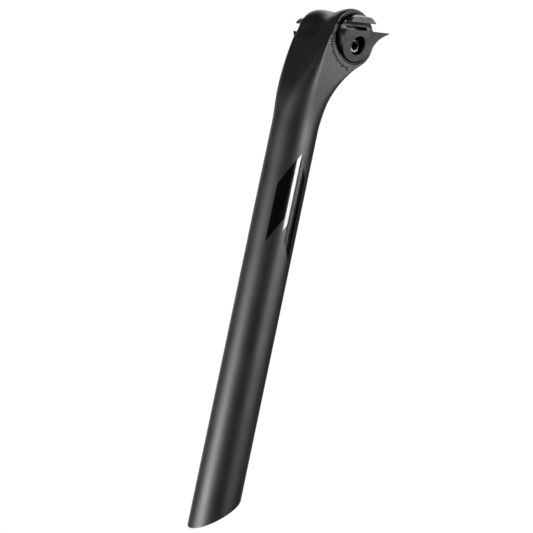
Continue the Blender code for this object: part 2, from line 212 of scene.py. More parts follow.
def slab(name, outline, thickness, placed):
    """A flat closed outline in local XY given thickness along local Z, centred on its plane."""
    bm = bmesh.new()
    low = [bm.verts.new((a * MM, b * MM, -thickness / 2 * MM)) for a, b in outline]
    face = bm.faces.new(low)
    raised = bmesh.ops.extrude_face_region(bm, geom=[face])
    lifted = [item for item in raised["geom"] if isinstance(item, bmesh.types.BMVert)]
    bmesh.ops.translate(bm, vec=(0.0, 0.0, thickness * MM), verts=lifted)
    bmesh.ops.recalc_face_normals(bm, faces=bm.faces)
    made = link_mesh(name, mesh_from_bmesh(name, bm))
    made.matrix_world = placed
    return made


AXIS_MERGE = 0.0001            # turned points nearer than this are one point on the axis


def turned(name, profile, placed, closed=True):
    """A profile of (radius, height) pairs turned about local Z; an open one ends on the axis."""
    bm = bmesh.new()
    points = [bm.verts.new((r * MM, 0.0, h * MM)) for r, h in profile]
    edges = [bm.edges.new(pair) for pair in zip(points, points[1:])]
    if closed:
        edges.append(bm.edges.new((points[-1], points[0])))
    bmesh.ops.spin(
        bm, geom=points + edges, cent=(0, 0, 0), axis=(0, 0, 1),
        angle=2 * math.pi, steps=ROUND, use_merge=True,
    )
    bmesh.ops.remove_doubles(bm, verts=bm.verts, dist=AXIS_MERGE * MM)
    bmesh.ops.recalc_face_normals(bm, faces=bm.faces)
    made = link_mesh(name, mesh_from_bmesh(name, bm))
    made.matrix_world = placed
    return made


def arc(centre, radius, start, end, steps):
    """Points on an arc from start to end degrees, both ends included."""
    points = []
    for i in range(steps + 1):
        angle = math.radians(start + (end - start) * i / steps)
        points.append((centre[0] + radius * math.cos(angle), centre[1] + radius * math.sin(angle)))
    return points


def finish(obj, node, body, material):
    """The piece stands for a CAD node, moves with its body and takes its finish."""
    obj.data.materials.clear()
    obj.data.materials.append(material)
    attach(obj, body)
    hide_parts(node)


def finish_mark(obj, material):
    """A printed mark belongs to the post and stands for no CAD node."""
    obj.data.materials.append(material)
    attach(obj, "post")


# ---------------------------------------------------------------- post: tube, neck and eye

FRONT_SLOPE = 0.30             # the neck's front face falls back this much for each unit of height
FRONT_REACH = 20.5             # distance of the front face from the eye's axis
FRONT_BLEND = 1.5              # softness of the bend between tube and front face
FRONT_END = (-7.0, 8.0)        # heights from the eye's centre over which the front meets the rim
REAR_FILLET_R = 50.0
REAR_END_SLOPE = 0.3           # slope of the rear face above its fillet, inside the eye's rim
NECK_START_S = 184.0           # the tube is plain below this height
NECK_WIDE_S = 232.0            # the neck is as wide as the eye above this one
FRONT_SQUARE_S = 254.0         # heights at which the corners reach the head's own rounding
REAR_SQUARE_S = 243.0
NECK_TOP_S = EYE_S + FRONT_END[1] + 1.0
CORNER_DEPTH = 1.2             # corner radii of the head, along f and along y
CORNER_WIDTH = 3.0
HEAD_SHARP_ANGLE = math.radians(35.0)
WAIST_FADE_S = (240.0, 266.0)  # the waist of the eye's rim fades in over these heights
WAIST_HALF_WIDTH = EYE_HALF_WIDTH - CORNER_WIDTH
CORNER_SWITCH = 8.0            # depth over which the rear corners' radii change to the front ones'
ROUGH_LEVELS = 21
ROUGH_AROUND = 64
ROUND_POWER = 2.0              # exponents of the rough skin's outline: a circle at the tube
SQUARE_POWER = 8.0             # and nearly a square at the head
SKIN_VOXEL = 1.0
SKIN_LOW_S = FOOT_S - 25.0     # the skin runs on below the foot, until the slash cuts it
BORE_LOW_S = FOOT_S - 15.0     # and so does the cutter of the tube's bore
SKIN_END_DEPTH = 5.0           # of the flat end, which isn't moved onto the skin
HEAD_S = 205.0                 # the mesh is finer above this height
MOUTH_CHAMFER = 0.3
NEWTON_STEPS = 8
NEWTON_REACH = 1.0             # the furthest a vertex moves in one step
TINY = 1e-9
SKIN_TOLERANCE = 0.03          # a vertex this near the skin, as a share of the corner radius, is on it
SKIN_FACING = 0.74             # a face turned further from the skin's normal, as on the slash, is a cut


def smoothstep(t):
    """Zero below 0, one above 1 and an S-curve between."""
    t = np.clip(t, 0.0, 1.0)
    return t * t * (3.0 - 2.0 * t)


def front_of_neck(s):
    """The front face: the tube's side, bent into a sloping line that runs out onto the eye's rim."""
    angle = math.atan(FRONT_SLOPE)
    line = EYE_F + FRONT_REACH / math.cos(angle) - FRONT_SLOPE * (s - EYE_S)
    bent = TUBE_R - FRONT_BLEND * np.log1p(np.exp((TUBE_R - line) / FRONT_BLEND))
    start, end = FRONT_END
    onto_rim = smoothstep((s - EYE_S - start) / (end - start))
    rim = EYE_F + np.sqrt(EYE_RIM_R ** 2 - np.clip(np.abs(s - EYE_S), 0.0, EYE_RIM_R) ** 2)
    return bent + (rim - bent) * onto_rim


def rear_of_neck(s):
    """The rear face: the tube's side, then a hollow fillet that runs out onto the eye's rim."""
    fillet_f = -TUBE_R - REAR_FILLET_R
    reach = EYE_RIM_R + REAR_FILLET_R
    fillet_s = EYE_S - math.sqrt(reach ** 2 - (fillet_f - EYE_F) ** 2)
    touch_s = EYE_S - (EYE_S - fillet_s) * EYE_RIM_R / reach
    touch_f = EYE_F + (fillet_f - EYE_F) * EYE_RIM_R / reach
    rise = np.clip(s - fillet_s, 0.0, REAR_FILLET_R)
    hollow = fillet_f + np.sqrt(REAR_FILLET_R ** 2 - rise ** 2)
    return np.where(s <= touch_s, hollow, touch_f + REAR_END_SLOPE * (s - touch_s))


def neck_half_width(s):
    """From the tube's radius to the eye's half width."""
    rise = smoothstep((s - NECK_START_S) / (NECK_WIDE_S - NECK_START_S))
    return TUBE_R + (EYE_HALF_WIDTH - TUBE_R) * rise


def corner_radii(s, square_s):
    """The corner's radii along f and y, from fully round to the head's own rounding."""
    rise = smoothstep((s - NECK_START_S) / (square_s - NECK_START_S))
    return TUBE_R + (CORNER_DEPTH - TUBE_R) * rise, TUBE_R + (CORNER_WIDTH - TUBE_R) * rise


def skin_field(f, y, s):
    """Below zero inside the post's outer skin, zero on it and above zero outside."""
    front = front_of_neck(s)
    rear = rear_of_neck(s)
    neck = np.maximum(np.maximum(f - front, rear - f), s - NECK_TOP_S)
    ring = np.hypot(f - EYE_F, s - EYE_S) - EYE_RIM_R
    waist = 0.5 + 0.5 * np.cos(np.pi * np.clip(y / WAIST_HALF_WIDTH, -1.0, 1.0))
    fade_in = smoothstep((s - WAIST_FADE_S[0]) / (WAIST_FADE_S[1] - WAIST_FADE_S[0]))
    outline = np.minimum(neck, ring) + WAIST_DIP * waist * fade_in
    frontness = smoothstep((f - (front + rear) / 2) / CORNER_SWITCH + 0.5)
    front_f, front_y = corner_radii(s, FRONT_SQUARE_S)
    rear_f, rear_y = corner_radii(s, REAR_SQUARE_S)
    along = rear_f + (front_f - rear_f) * frontness
    across = rear_y + (front_y - rear_y) * frontness
    side = np.abs(y) - neck_half_width(s)
    into_outline = np.maximum(outline / along + 1.0, 0.0)
    into_side = np.maximum(side / across + 1.0, 0.0)
    return np.hypot(into_outline, into_side) - 1.0


def rough_ring(s, directions):
    """Points round the neck at one height, on an outline between a circle and a square."""
    front, rear, width = float(front_of_neck(s)), float(rear_of_neck(s)), float(neck_half_width(s))
    rise = smoothstep((s - NECK_START_S) / (FRONT_SQUARE_S - NECK_START_S))
    power = 2 / (ROUND_POWER + (SQUARE_POWER - ROUND_POWER) * rise)
    ring = []
    for c, d in directions:
        f = (front + rear) / 2 + (front - rear) / 2 * math.copysign(abs(c) ** power, c)
        y = width * math.copysign(abs(d) ** power, d)
        ring.append(tube_point(f, y, float(s)))
    return ring


def add_rough_skin():
    """A loft that is near the skin, with the eye as a plain drum."""
    neck_levels = np.linspace(NECK_START_S, NECK_TOP_S, ROUGH_LEVELS)
    angles = np.linspace(0.0, 2 * np.pi, ROUGH_AROUND, endpoint=False)
    directions = list(zip(np.cos(angles), np.sin(angles)))
    bm = bmesh.new()
    rings = []
    for s in (SKIN_LOW_S, *neck_levels):
        rings.append([bm.verts.new(point) for point in rough_ring(s, directions)])
    for low, high in zip(rings, rings[1:]):
        for i in range(ROUGH_AROUND):
            j = (i + 1) % ROUGH_AROUND
            bm.faces.new((low[i], low[j], high[j], high[i]))
    bm.faces.new(rings[0])
    bm.faces.new(rings[-1])
    bmesh.ops.recalc_face_normals(bm, faces=bm.faces)
    skin = link_mesh("post_skin", mesh_from_bmesh("post_skin", bm))
    inset = CORNER_DEPTH / 2
    half_width = EYE_HALF_WIDTH - inset
    return boolean(skin, drum("eye_drum", EYE_RIM_R - inset, -half_width, half_width), "UNION")


TUBE_AXES = np.array([TUBE_FORWARD, LEFTWARD, TUBE_UP])


def in_tube_frame(mesh):
    """The mesh's vertices as rows of (f, y, s)."""
    points = np.empty(len(mesh.vertices) * 3)
    mesh.vertices.foreach_get("co", points)
    return points.reshape(-1, 3) @ TUBE_AXES.T / MM


def skin_slope(points):
    """The field's gradient at rows of (f, y, s)."""
    step = 0.001
    slopes = []
    for axis in np.eye(3):
        ahead = skin_field(*(points + step * axis).T)
        behind = skin_field(*(points - step * axis).T)
        slopes.append((ahead - behind) / (2 * step))
    return np.stack(slopes, axis=1)


def settle_on_skin(mesh):
    """Move every vertex onto the skin by Newton's method; the flat end below the foot stays."""
    local = in_tube_frame(mesh)
    moving = local[:, 2] > SKIN_LOW_S + SKIN_END_DEPTH
    for _ in range(NEWTON_STEPS):
        here = local[moving]
        slope = skin_slope(here)
        size = np.maximum((slope ** 2).sum(axis=1), 1e-6)
        move = -(skin_field(*here.T) / size)[:, None] * slope
        length = np.maximum(np.linalg.norm(move, axis=1, keepdims=True), TINY)
        local[moving] = here + move * np.minimum(1.0, NEWTON_REACH / length)
    mesh.vertices.foreach_set("co", (local * MM @ TUBE_AXES).ravel())
    mesh.update()


def refine_head(obj):
    """Halve the mesh's faces over the head, where the corners are tight."""
    bm = bmesh.new()
    bm.from_mesh(obj.data)
    tube_up = TUBE_UP / MM
    edges = [e for e in bm.edges if all(v.co.dot(tube_up) > HEAD_S for v in e.verts)]
    bmesh.ops.subdivide_edges(bm, edges=edges, cuts=1, use_grid_fill=True)
    bm.to_mesh(obj.data)
    bm.free()


def shade_as_skin(obj):
    """Give the faces that lie on the skin the skin's own normals; cut faces keep theirs."""
    mesh = obj.data
    mesh.shade_smooth()
    mesh.set_sharp_from_angle(angle=HEAD_SHARP_ANGLE)
    local = in_tube_frame(mesh)
    slope = skin_slope(local)
    steepness = np.maximum(np.linalg.norm(slope, axis=1, keepdims=True), TINY)
    normals = slope / steepness @ TUBE_AXES
    on_skin = np.abs(skin_field(*local.T)) < SKIN_TOLERANCE
    loop_vertex = np.empty(len(mesh.loops), dtype=int)
    mesh.loops.foreach_get("vertex_index", loop_vertex)
    loop_normals = np.array([c.vector for c in mesh.corner_normals])
    for face in mesh.polygons:
        corners = slice(face.loop_start, face.loop_start + face.loop_total)
        around = loop_vertex[corners]
        facing = (normals[around] @ np.array(face.normal)).min()
        if on_skin[around].all() and facing > SKIN_FACING:
            loop_normals[corners] = normals[around]
    mesh.normals_split_custom_set(loop_normals.tolist())


def eye_bore_profile():
    """The through bore, stepped out at both mouths for the liners, with a chamfer at each mouth."""
    seat = EYE_HALF_WIDTH - LINER_DEPTH - GAP
    wide = LINER_R + GAP
    overrun = 5.0
    outside = EYE_HALF_WIDTH + overrun
    half = [
        (0.0, outside), (wide + MOUTH_CHAMFER + overrun, outside),
        (wide, EYE_HALF_WIDTH - MOUTH_CHAMFER), (wide, seat), (EYE_R, seat),
    ]
    return half + [(r, -h) for r, h in reversed(half)]


def foot_cutter():
    """Everything below the 45 degree slash, which is longest at the front."""
    size = 120.0
    turn = TUBE_TURN @ Matrix.Rotation(math.radians(45.0), 4, "Y")
    made = block("foot_slash", (-size / 2, size / 2), (-size / 2, size / 2), (-size, 0.0))
    on_slash = Matrix.Translation(tube_point(TUBE_R, 0.0, FOOT_S))
    below = Matrix.Translation((0.0, 0.0, -size / 2 * MM))
    made.matrix_world = on_slash @ turn @ below
    return made


def add_post(material):
    """The outer skin, with the tube's bore, the slash and the eye's bore cut from it."""
    post = add_rough_skin()
    remesh = post.modifiers.new("remesh", "REMESH")
    remesh.mode = "VOXEL"
    remesh.voxel_size = SKIN_VOXEL * MM
    freeze(post)
    settle_on_skin(post.data)
    refine_head(post)
    settle_on_skin(post.data)
    middle = tube_point(0.0, 0.0, (BORE_TOP_S + BORE_LOW_S) / 2)
    leaned = Matrix.Translation(middle) @ TUBE_TURN
    boolean(post, cylinder("tube_bore", TUBE_BORE_R, BORE_TOP_S - BORE_LOW_S, leaned))
    boolean(post, foot_cutter())
    bore = turned("eye_bore", eye_bore_profile(), at_eye() @ FACING_Y, closed=False)
    for side, word in SIDES:
        boolean(bore, rail_rod(f"rail_relief_{word}", side, RELIEF_R), "UNION")
    boolean(post, bore)
    shade_as_skin(post)
    post.name = "post"
    finish(post, "seatpost_body", "post", material)


def add_liner(side, word, material):
    """A thin ring bonded into one mouth of the eye."""
    outer = EYE_HALF_WIDTH
    inner = EYE_HALF_WIDTH - LINER_DEPTH
    chamfer = 0.6
    break_edge = 0.15
    profile = [
        (LINER_R - break_edge, outer), (LINER_R, outer - break_edge), (LINER_R, inner), (EYE_R, inner),
        (EYE_R, outer - chamfer), (EYE_R + chamfer, outer),
    ]
    liner = turned(f"liner_{word}", [(r, side * h) for r, h in profile], at_eye() @ FACING_Y)
    boolean(liner, rail_rod(f"liner_relief_{word}", side, RELIEF_R))
    smooth(liner)
    finish(liner, f"eye_liner_{word}", "post", material)


# ---------------------------------------------------------------- post: printed marks

PRINT_PROUD = 0.04             # how far a printed mark stands off the skin
PRINT_DEPTH = 0.10             # how far its underside is sunk into it
PANEL_COLUMNS = 24
# Plain slanted panels with a silver line between them.
PANELS = (
    # name, ink, angles round the tube from straight ahead, heights of the two ends at the first
    # angle, and how far the ends climb for each degree
    ("panel_front", "gloss", (32.0, 68.0), (100.0, 141.0), 0.55),
    ("panel_rear", "gloss", (78.5, 106.0), (104.0, 162.0), -0.45),
    ("panel_line", "silver", (68.8, 77.6), (110.0, 160.0), 0.60),
)
TICK_RADII = (20.7, 22.5)
LONG_TICK_R = 23.4
TICK_WIDTH = 1.0
TICK_ANGLES = range(-75, 0, 5)  # degrees round the eye, from straight ahead and downward
LONG_TICK_EVERY = 15


def panel_edge(bm, side, radius, angles, s, climb):
    """A row of vertices round the tube, climbing from height s at the first angle."""
    row = []
    for i in range(PANEL_COLUMNS + 1):
        degrees = angles[0] + (angles[1] - angles[0]) * i / PANEL_COLUMNS
        angle = math.radians(degrees)
        f, y = radius * math.cos(angle), side * radius * math.sin(angle)
        row.append(bm.verts.new(tube_point(f, y, s + climb * (degrees - angles[0]))))
    return row


def print_on_tube(name, side, angles, heights, climb, material):
    """A thin closed patch that follows the tube, with slanted ends."""
    bm = bmesh.new()
    out_r, in_r = TUBE_R + PRINT_PROUD, TUBE_R - PRINT_DEPTH
    corners = ((out_r, heights[0]), (out_r, heights[1]), (in_r, heights[1]), (in_r, heights[0]))
    rows = [panel_edge(bm, side, r, angles, s, climb) for r, s in corners]
    for a, b in zip(rows, rows[1:] + rows[:1]):
        for i in range(PANEL_COLUMNS):
            bm.faces.new((a[i], a[i + 1], b[i + 1], b[i]))
    for end in (0, PANEL_COLUMNS):
        bm.faces.new([row[end] for row in rows])
    bmesh.ops.recalc_face_normals(bm, faces=bm.faces)
    patch = link_mesh(name, mesh_from_bmesh(name, bm))
    smooth(patch)
    finish_mark(patch, material)


def add_tilt_ticks(side, word, material):
    """A plain scale of radial ticks round the front and lower edge of the eye."""
    bm = bmesh.new()
    thickness = PRINT_PROUD + PRINT_DEPTH
    for degrees in TICK_ANGLES:
        inner, outer = TICK_RADII
        if degrees % LONG_TICK_EVERY == 0:
            outer = LONG_TICK_R
        turn = Matrix.Rotation(-math.radians(degrees), 4, "Y")
        middle = Matrix.Translation(Vector(((inner + outer) / 2, 0.0, 0.0)) * MM)
        size = Vector((outer - inner, thickness, TICK_WIDTH)) * MM
        bmesh.ops.create_cube(bm, size=1.0, matrix=turn @ middle @ Matrix.Diagonal(size).to_4x4())
    name = f"tilt_ticks_{word}"
    ticks = link_mesh(name, mesh_from_bmesh(name, bm))
    ticks.matrix_world = at_eye(0.0, side * (EYE_HALF_WIDTH + PRINT_PROUD - thickness / 2), 0.0)
    finish_mark(freeze(ticks), material)


def add_printed_marks(inks):
    """The same panels and ticks on both sides of the post."""
    for side, word in SIDES:
        for name, ink, angles, heights, climb in PANELS:
            print_on_tube(f"{name}_{word}", side, angles, heights, climb, inks[ink])
        add_tilt_ticks(side, word, inks["black"])


# ---------------------------------------------------------------- clamp: upper jaws

FEET_Z = 6.0
NOTCH_Z = 8.0                  # the skirt is cut away between its two feet, up to this height
NOTCH_X = (-11.0, 8.8)
UPPER_LIP_Z = 10.2
SKIRT_Y = 18.6
NOTCH_Y = (SKIRT_Y - 6.0, SKIRT_Y + 1.0)
JAW_INNER_Y = 0.2              # half the gap between the left and right upper jaws
LIP_OUTER_Y = 26.3
LIP_SHOULDER_Z = 14.0
LIP_FRONT_X = 11.5             # the lip is cut off square in front of this
LIP_CUT_Y = (SKIRT_Y + 0.8, LIP_OUTER_Y + 2.0)
JAW_EDGE = 0.28                # the machined jaws' broken edges
JAW_SHARP_ANGLE = 50.0
GROOVE_STEPS = 24


def upper_jaw_outline():
    """The upper jaw seen from the front: feet, skirt wall, rail groove, lip and sloping top."""
    skirt_angle = 180.0 + math.degrees(math.acos((RAIL_Y - SKIRT_Y) / RAIL_GROOVE_R))
    lip_angle = math.degrees(math.asin((UPPER_LIP_Z - RAIL_Z) / RAIL_GROOVE_R))
    groove = arc((RAIL_Y, RAIL_Z), RAIL_GROOVE_R, skirt_angle, lip_angle, GROOVE_STEPS)
    top = JAW_R + 0.5
    feet = [(JAW_INNER_Y, FEET_Z), (SKIRT_Y, FEET_Z)]
    lip = [(LIP_OUTER_Y, UPPER_LIP_Z), (LIP_OUTER_Y, LIP_SHOULDER_Z), (SKIRT_Y, top), (JAW_INNER_Y, top)]
    return feet + groove + lip


def add_upper_jaw(side, word, material):
    """A length of the outline, cut to the jaw's round barrel and notched."""
    outline = [(side * y, z) for y, z in upper_jaw_outline()]
    jaw = slab(f"saddle_clamp_top_{word}", outline, 2 * JAW_R + 4.0, at_eye() @ OUTLINE_YZ)
    boolean(jaw, drum("jaw_barrel", JAW_R, -side, side * 30.0), "INTERSECT")
    y_range = sorted(side * y for y in NOTCH_Y)
    boolean(jaw, block("skirt_notch", NOTCH_X, y_range, (FEET_Z - 2.0, NOTCH_Z)))
    y_range = sorted(side * y for y in LIP_CUT_Y)
    reach = 20.0
    boolean(jaw, block("lip_front", (LIP_FRONT_X, reach), y_range, (0.0, reach)))
    bevel(jaw, JAW_EDGE)
    smooth(jaw, JAW_SHARP_ANGLE)
    finish(jaw, f"upper_jaw_{word}", "clamp", material)


# ---------------------------------------------------------------- clamp: lower jaws

BARREL_INNER_Y = 4.0
CHEEK_SLANT = math.radians(19.4)
CHEEK_TOP_Y = 25.2             # outer face of the cheek at the height of the lip's top
WING_TIP = (-26.0, 4.3)
WING_ROOT_ANGLE = 214.5        # where the wing's hollow underside leaves the cheek's circle
HOLLOW_SAG = 2.6
WING_STEPS = 16
CHEEK_STEPS = 72
WASHER_THICKNESS = 0.7
SEAT_Y = BOLT_HEAD_Y - BOLT_HEAD_LENGTH - GAP - WASHER_THICKNESS   # the washer lies on this face


def wing_underside():
    """A hollow curve from the cheek's circle out to the wing's tip."""
    angle = math.radians(WING_ROOT_ANGLE)
    root = Vector((math.cos(angle), math.sin(angle))) * CHEEK_R
    along = Vector(WING_TIP) - root
    inward = Vector((along.y, -along.x)).normalized() * HOLLOW_SAG
    points = []
    for i in range(1, WING_STEPS + 1):
        share = i / WING_STEPS
        points.append(tuple(root + along * share + inward * math.sin(math.pi * share)))
    return points


def cheek_outline():
    """The lower jaw seen from the side: a disc cut off at the lip, with the wing at the rear."""
    corner = math.degrees(math.asin(LIP_TOP_Z / CHEEK_R))
    rim = arc((0.0, 0.0), CHEEK_R, corner, WING_ROOT_ANGLE - 360.0, CHEEK_STEPS)
    return rim + wing_underside() + [(WING_TIP[0], LIP_TOP_Z)]


def cheek_slant_cutter(side):
    """Everything outside the cheek's slanted outer face."""
    size = 60.0
    turn = Matrix.Rotation(-side * CHEEK_SLANT, 4, "X")
    half = turn @ Vector((0.0, side * size / 2, 0.0))
    centre = Vector((0.0, side * CHEEK_TOP_Y, LIP_TOP_Z)) + half
    made = block("cheek_slant", (-size, size), (-size / 2, size / 2), (-size / 2, size / 2))
    made.matrix_world = at_eye(*centre) @ turn
    return made


def add_lower_jaw(side, word, material):
    """A slanted cheek with its wing, on a barrel that runs into the eye."""
    cheek_width = CHEEK_TOP_Y + 1.0 - CHEEK_INNER_Y
    placed = at_eye(0.0, side * (CHEEK_INNER_Y + cheek_width / 2), 0.0) @ OUTLINE_XZ
    jaw = slab(f"saddle_clamp_cheek_{word}", cheek_outline(), cheek_width, placed)
    boolean(jaw, drum("barrel", JAW_R, side * BARREL_INNER_Y, side * (CHEEK_INNER_Y + 1.0)), "UNION")
    reach = 40.0
    y_range = sorted((side * (BARREL_INNER_Y - 1.0), side * (CHEEK_TOP_Y + 5.0)))
    boolean(jaw, block("lip_plane", (-reach, reach), y_range, (LIP_TOP_Z, reach)))
    boolean(jaw, rail_rod("rail_groove", side, RAIL_GROOVE_R))
    boolean(jaw, cheek_slant_cutter(side))
    boolean(jaw, drum("bolt_hole", BOLT_HOLE_R, 0.0, side * reach, z=BOLT_Z))
    if side > 0:
        boolean(jaw, drum("counterbore", COUNTERBORE_R, SEAT_Y - GAP, reach, z=BOLT_Z))
    else:
        corner_r = (NUT_FLATS / 2 + GAP) / HEX_APOTHEM
        pocket_floor = NUT_OUTER_Y + NUT_LENGTH + GAP
        boolean(jaw, drum("nut_pocket", corner_r, pocket_floor, -reach, z=BOLT_Z, segments=6))
    bevel(jaw, JAW_EDGE)
    smooth(jaw, JAW_SHARP_ANGLE)
    finish(jaw, f"lower_jaw_{word}", f"{word}_jaw", material)


# ---------------------------------------------------------------- bolt, washer and nut

THREAD_PITCH = 1.0
THREAD_DEPTH = 0.45
THREAD_LENGTH = 12.0
HEX_SOCKET_FLATS = 5.0
HEX_SOCKET_DEPTH = 3.2
SOCKET_CHAMFER = 0.3
HEAD_ROUNDING = 0.6
ROD_AROUND = 48
STEPS_PER_PITCH = 8
CREST_SHARPNESS = 1.15         # above 1, the thread's crests are flat
LEAD_IN = 0.5                  # chamfer at the rod's end


def threaded_rod(name, placed, low, high, thread_top):
    """A rod along local Z from low to high, whose helical thread runs from low up to thread_top."""
    steps = round((high - low) / THREAD_PITCH * STEPS_PER_PITCH)
    bm = bmesh.new()
    rings = []
    for i in range(steps + 1):
        z = low + (high - low) * i / steps
        ring = []
        for k in range(ROD_AROUND):
            turn = k / ROD_AROUND
            crest = abs(((z / THREAD_PITCH - turn) % 1.0) * 2.0 - 1.0)
            groove = THREAD_DEPTH * (1.0 - min(crest * CREST_SHARPNESS, 1.0)) if z < thread_top else 0.0
            r = BOLT_R - max(groove, LEAD_IN - (z - low), 0.0)
            angle = 2 * math.pi * turn
            ring.append(bm.verts.new((r * MM * math.cos(angle), r * MM * math.sin(angle), z * MM)))
        rings.append(ring)
    for under, over in zip(rings, rings[1:]):
        for k in range(ROD_AROUND):
            j = (k + 1) % ROD_AROUND
            bm.faces.new((under[k], under[j], over[j], over[k]))
    bm.faces.new(rings[0])
    bm.faces.new(rings[-1])
    bmesh.ops.recalc_face_normals(bm, faces=bm.faces)
    made = link_mesh(name, mesh_from_bmesh(name, bm))
    made.matrix_world = placed
    return made


def add_clamp_bolt(material):
    """An M6 socket-head screw, head on the left, threaded at its right end."""
    head_back = BOLT_HEAD_Y - BOLT_HEAD_LENGTH
    placed = at_eye(z=BOLT_Z) @ FACING_Y
    rim_centre = (BOLT_HEAD_R - HEAD_ROUNDING, BOLT_HEAD_Y - HEAD_ROUNDING)
    rim = arc(rim_centre, HEAD_ROUNDING, 90.0, 0.0, 6)
    back_edge = 0.2
    back = [(BOLT_HEAD_R, head_back + back_edge), (BOLT_HEAD_R - back_edge, head_back), (0.0, head_back)]
    head_profile = [(0.0, BOLT_HEAD_Y)] + rim + back
    bolt = turned("bolt_head", head_profile, placed, closed=False)
    rod = threaded_rod("bolt_rod", placed, BOLT_END_Y, head_back + 1.0, BOLT_END_Y + THREAD_LENGTH)
    boolean(bolt, rod, "UNION")
    mouth = BOLT_HEAD_Y + 1.0
    corner_r = HEX_SOCKET_FLATS / 2 / HEX_APOTHEM
    socket = drum("hex_socket", corner_r, BOLT_HEAD_Y - HEX_SOCKET_DEPTH, mouth, z=BOLT_Z, segments=6)
    boolean(bolt, socket)
    lead_r = corner_r + SOCKET_CHAMFER
    depth = 0.5
    bottom = BOLT_HEAD_Y - depth
    lead_in = [(0.0, mouth), (lead_r + 1.0, mouth), (lead_r - depth, bottom), (0.0, bottom)]
    boolean(bolt, turned("socket_lead_in", lead_in, placed, closed=False))
    smooth(bolt)
    bolt.name = "socket_screw"
    finish(bolt, "clamp_bolt", "bolt", material)


def add_bolt_washer(material):
    """A flat ring between the bolt's head and its seat."""
    top = SEAT_Y + WASHER_THICKNESS
    outer = COUNTERBORE_R - GAP
    edge = 0.12
    profile = [
        (outer - edge, top), (outer, top - edge), (outer, SEAT_Y + edge), (outer - edge, SEAT_Y),
        (BOLT_HOLE_R, SEAT_Y), (BOLT_HOLE_R, top - edge), (BOLT_HOLE_R + edge, top),
    ]
    washer = turned("flat_washer", profile, at_eye(z=BOLT_Z) @ FACING_Y)
    smooth(washer)
    finish(washer, "bolt_washer", "left_jaw", material)


def add_hex_nut(material):
    """A hexagon whose corners are turned off at both faces, with a chamfered bore."""
    corner_r = NUT_FLATS / 2 / HEX_APOTHEM
    inner = NUT_OUTER_Y + NUT_LENGTH
    placed = at_eye(z=BOLT_Z) @ FACING_Y
    nut = drum("nut", corner_r, NUT_OUTER_Y, inner, z=BOLT_Z, segments=6)
    drop = 0.35
    face_r, side_r = NUT_FLATS / 2 - 0.1, corner_r + 0.1
    envelope = [
        (0.0, inner), (face_r, inner), (side_r, inner - drop),
        (side_r, NUT_OUTER_Y + drop), (face_r, NUT_OUTER_Y), (0.0, NUT_OUTER_Y),
    ]
    boolean(nut, turned("corner_turning", envelope, placed, closed=False), "INTERSECT")
    chamfer = 0.45
    bore_r = BOLT_R + GAP / 2
    mouth_r = bore_r + chamfer
    bore = [
        (0.0, inner + 1.0), (mouth_r, inner + 1.0), (mouth_r, inner), (bore_r, inner - chamfer),
        (bore_r, NUT_OUTER_Y + chamfer), (mouth_r, NUT_OUTER_Y), (mouth_r, NUT_OUTER_Y - 1.0),
        (0.0, NUT_OUTER_Y - 1.0),
    ]
    boolean(nut, turned("nut_bore", bore, placed, closed=False))
    smooth(nut)
    finish(nut, "hex_nut", "right_jaw", material)


# ---------------------------------------------------------------- materials

class Shader:
    """A material's node tree, built a node at a time; its textures are placed in metres."""

    def __init__(self, name):
        self.material = bpy.data.materials.new(name)
        self.material.use_nodes = True
        self.tree = self.material.node_tree
        self.surface = self.tree.nodes["Principled BSDF"]
        coordinates = self.tree.nodes.new("ShaderNodeTexCoord")
        self.place = coordinates.outputs["Object"]

    def link(self, source, target):
        """Join an output socket to an input socket."""
        self.tree.links.new(source, target)

    def add(self, kind, inputs=(), **settings):
        """A new node with its settings, and its inputs given as numbers or as sockets."""
        node = self.tree.nodes.new("ShaderNode" + kind)
        for name, value in settings.items():
            setattr(node, name, value)
        for key, value in dict(inputs).items():
            if isinstance(value, bpy.types.NodeSocket):
                self.link(value, node.inputs[key])
            else:
                node.inputs[key].default_value = value
        return node

    def math(self, operation, a, b=0.0):
        return self.add("Math", {0: a, 1: b}, operation=operation).outputs[0]

    def ramp(self, value, low, high, out_low=0.0, out_high=1.0):
        """A smooth rise from out_low to out_high while the value goes from low to high."""
        inputs = {"Value": value, "From Min": low, "From Max": high, "To Min": out_low, "To Max": out_high}
        return self.add("MapRange", inputs, interpolation_type="SMOOTHSTEP").outputs["Result"]

    def noise(self, place, scale, detail=3.0, roughness=0.5):
        inputs = {"Vector": place, "Scale": scale, "Detail": detail, "Roughness": roughness}
        return self.add("TexNoise", inputs).outputs["Fac"]

    def mapped(self, place, **settings):
        """Coordinates turned by Rotation and stretched by Scale."""
        return self.add("Mapping", {"Vector": place, **settings}).outputs[0]

    def colour_mix(self, share, low, high):
        node = self.add("Mix", data_type="RGBA")
        for socket, value in ((node.inputs[0], share), (node.inputs[6], low), (node.inputs[7], high)):
            if isinstance(value, bpy.types.NodeSocket):
                self.link(value, socket)
            elif isinstance(value, tuple):
                socket.default_value = (*value, 1.0)
            else:
                socket.default_value = value
        return node.outputs[2]

    def bump(self, height, strength, distance_mm):
        inputs = {"Height": height, "Strength": strength, "Distance": distance_mm * MM}
        self.link(self.add("Bump", inputs).outputs[0], self.surface.inputs["Normal"])

    def edges(self, low, high):
        """One on the outward edges of the mesh, where a finish wears first."""
        return self.ramp(self.add("NewGeometry").outputs["Pointiness"], low, high)

    def set(self, **values):
        """Constants on the shader's own sockets."""
        for name, value in values.items():
            self.surface.inputs[name.replace("_", " ")].default_value = value


